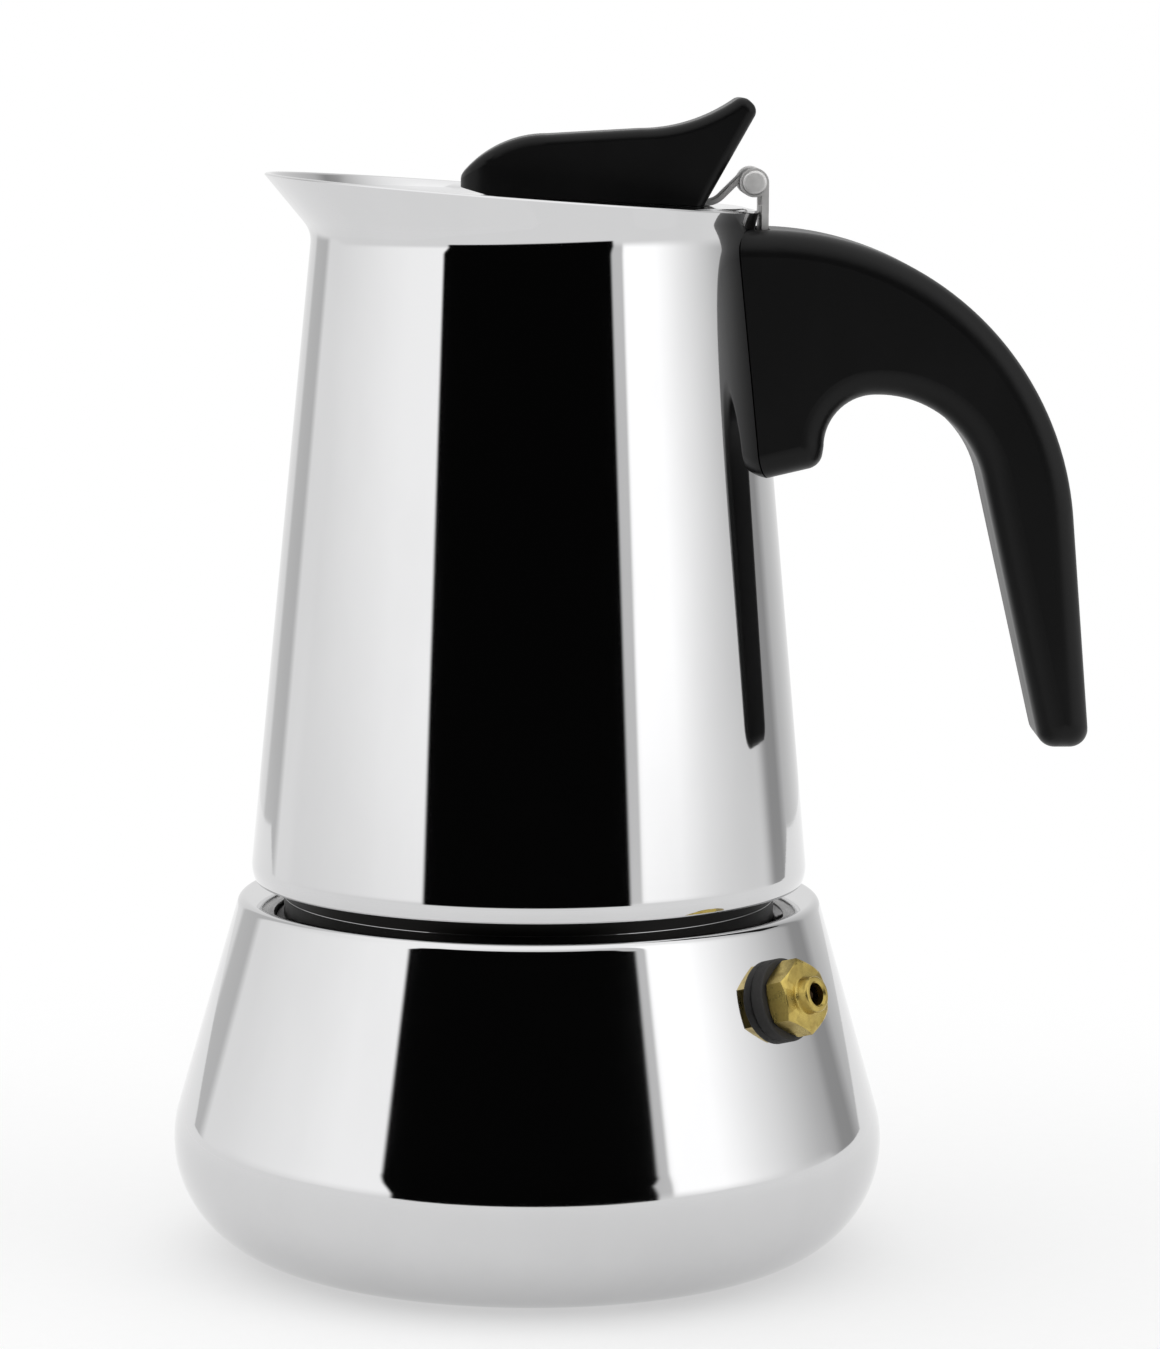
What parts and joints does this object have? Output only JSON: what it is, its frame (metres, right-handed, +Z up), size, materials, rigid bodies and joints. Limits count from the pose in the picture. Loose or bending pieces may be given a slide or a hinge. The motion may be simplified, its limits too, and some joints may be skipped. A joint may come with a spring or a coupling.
{
  "type": "moka pot",
  "caption": "Polished steel moka pot: bell-bottomed boiler with a brass safety valve, screw-on tapered collector with a flared pouring lip, hinged lid and black side handle.",
  "frame": {"origin": "centre of the boiler's flat underside, on the pot's axis", "axes": "+Z up along the pot's axis, +X toward the handle, -X toward the spout, -Y toward the camera"},
  "size_m": [0.1341, 0.105, 0.1704],
  "materials": {
    "polished_steel": "mirror-polished stainless steel",
    "plain_steel": "satin stainless steel",
    "brass": "turned brass, slightly dulled",
    "dark_rubber": "matte dark sealing washer",
    "pale_silicone": "pale silicone",
    "black_plastic": "black moulded plastic with a soft sheen"
  },
  "bodies": {
    "boiler": {"boiler": "polished_steel", "valve_washer": "dark_rubber", "valve_body": "brass", "valve_nut": "brass", "valve_seat": "brass", "valve_spring": "plain_steel"},
    "plunger": {"valve_plunger": "brass"},
    "basket": {"basket_cup": "plain_steel", "basket_stem": "plain_steel", "basket_sieve": "plain_steel"},
    "seal": {"gasket": "pale_silicone", "filter_plate": "plain_steel"},
    "collector": {"collector_shell": "polished_steel", "collector_floor": "plain_steel", "thread_ring": "plain_steel", "chimney": "plain_steel", "chimney_cap": "plain_steel", "handle": "black_plastic", "handle_bracket": "plain_steel", "handle_screw": "plain_steel", "hinge_bracket": "plain_steel", "hinge_pin": "plain_steel"},
    "lid": {"lid": "polished_steel", "lid_hinge_leaf": "plain_steel", "lid_knob": "black_plastic", "knob_screw": "plain_steel"}
  },
  "joints": [
    {"name": "collector_lift", "type": "slide", "parent": "boiler", "child": "seal", "axis": [0, 0, 1], "range_m": [0, 0.006]},
    {"name": "collector_turn", "type": "hinge", "parent": "seal", "child": "collector", "pos_m": [0, 0, 0], "axis": [0, 0, 1], "range_deg": [0, 720]},
    {"name": "lid_hinge", "type": "hinge", "parent": "collector", "child": "lid", "pos_m": [0.0319, 0, 0.1583], "axis": [0, 1, 0], "range_deg": [0, 115]},
    {"name": "basket_lift", "type": "slide", "parent": "boiler", "child": "basket", "axis": [0, 0, 1], "range_m": [0, 0.0054]},
    {"name": "valve_lift", "type": "slide", "parent": "boiler", "child": "plunger", "axis": [0.7502, -0.601, 0.2756], "range_m": [0, 0.0012], "stiffness_N_per_m": 1000, "springref_m": -0.0012, "deforming": ["valve_spring"]}
  ],
  "couplings": [
    {"joint": "collector_lift", "follows": "collector_turn", "m_per_rad": 0.00047746},
    {"joint": "basket_lift", "follows": "collector_turn", "m_per_rad": 0.0004297}
  ]
}
